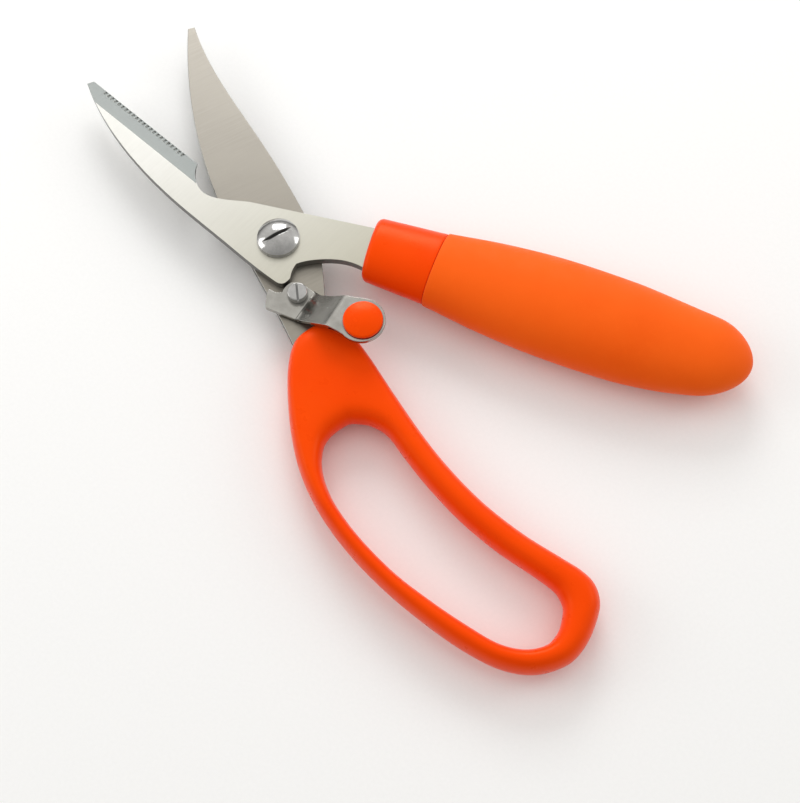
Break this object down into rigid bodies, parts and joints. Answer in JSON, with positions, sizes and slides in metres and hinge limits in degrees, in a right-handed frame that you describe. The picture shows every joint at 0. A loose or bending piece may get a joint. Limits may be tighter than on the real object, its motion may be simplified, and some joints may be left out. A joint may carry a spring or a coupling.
{
  "type": "poultry shears",
  "caption": "Poultry shears with a serrated blade, a notched curved blade, a sprung pivot, a thumb latch, a closed finger loop and a soft bar handle.",
  "frame": {"origin": "centre of the pivot nut's flat back face, on the pivot axis", "axes": "+Z along the pivot from the nut towards the domed screw head, +X from the finger loop towards the blade tips, +Y towards the side the serrated blade opens to; the rest pose is fully open with the latch off"},
  "size_m": [0.2543, 0.1416, 0.0213],
  "materials": {
    "blade_steel": "fine ground stainless steel, polished at the bevels",
    "polished_steel": "mirror polished stainless steel",
    "plain_steel": "plain turned stainless steel",
    "spring_steel": "drawn spring wire",
    "orange_plastic": "moulded, satin gloss",
    "pad_plastic": "moulded, glossy",
    "soft_grip": "soft-touch, matt"
  },
  "bodies": {
    "rear_half": {"rear_blade": "blade_steel", "loop_handle": "orange_plastic", "pivot_screw": "polished_steel", "pivot_washer": "plain_steel", "pivot_bush": "plain_steel", "pivot_nut": "polished_steel", "opening_spring": "spring_steel", "latch_screw": "polished_steel", "latch_washer": "plain_steel", "latch_nut": "plain_steel"},
    "front_half": {"front_blade": "blade_steel", "handle_core": "orange_plastic", "soft_grip": "soft_grip"},
    "latch": {"latch_lever": "polished_steel", "latch_pad": "pad_plastic"}
  },
  "joints": [
    {"name": "blade_pivot", "type": "hinge", "parent": "rear_half", "child": "front_half", "pos_m": [0, 0, 0.0044], "axis": [0, 0, -1], "range_deg": [0, 25], "stiffness_Nm_per_rad": 0.35, "springref_deg": -28.65, "deforming": ["opening_spring"]},
    {"name": "latch_pivot", "type": "hinge", "parent": "rear_half", "child": "latch", "pos_m": [-0.0199, 0.0056, 0.0055], "axis": [0, 0, -1], "range_deg": [0, 14]}
  ]
}
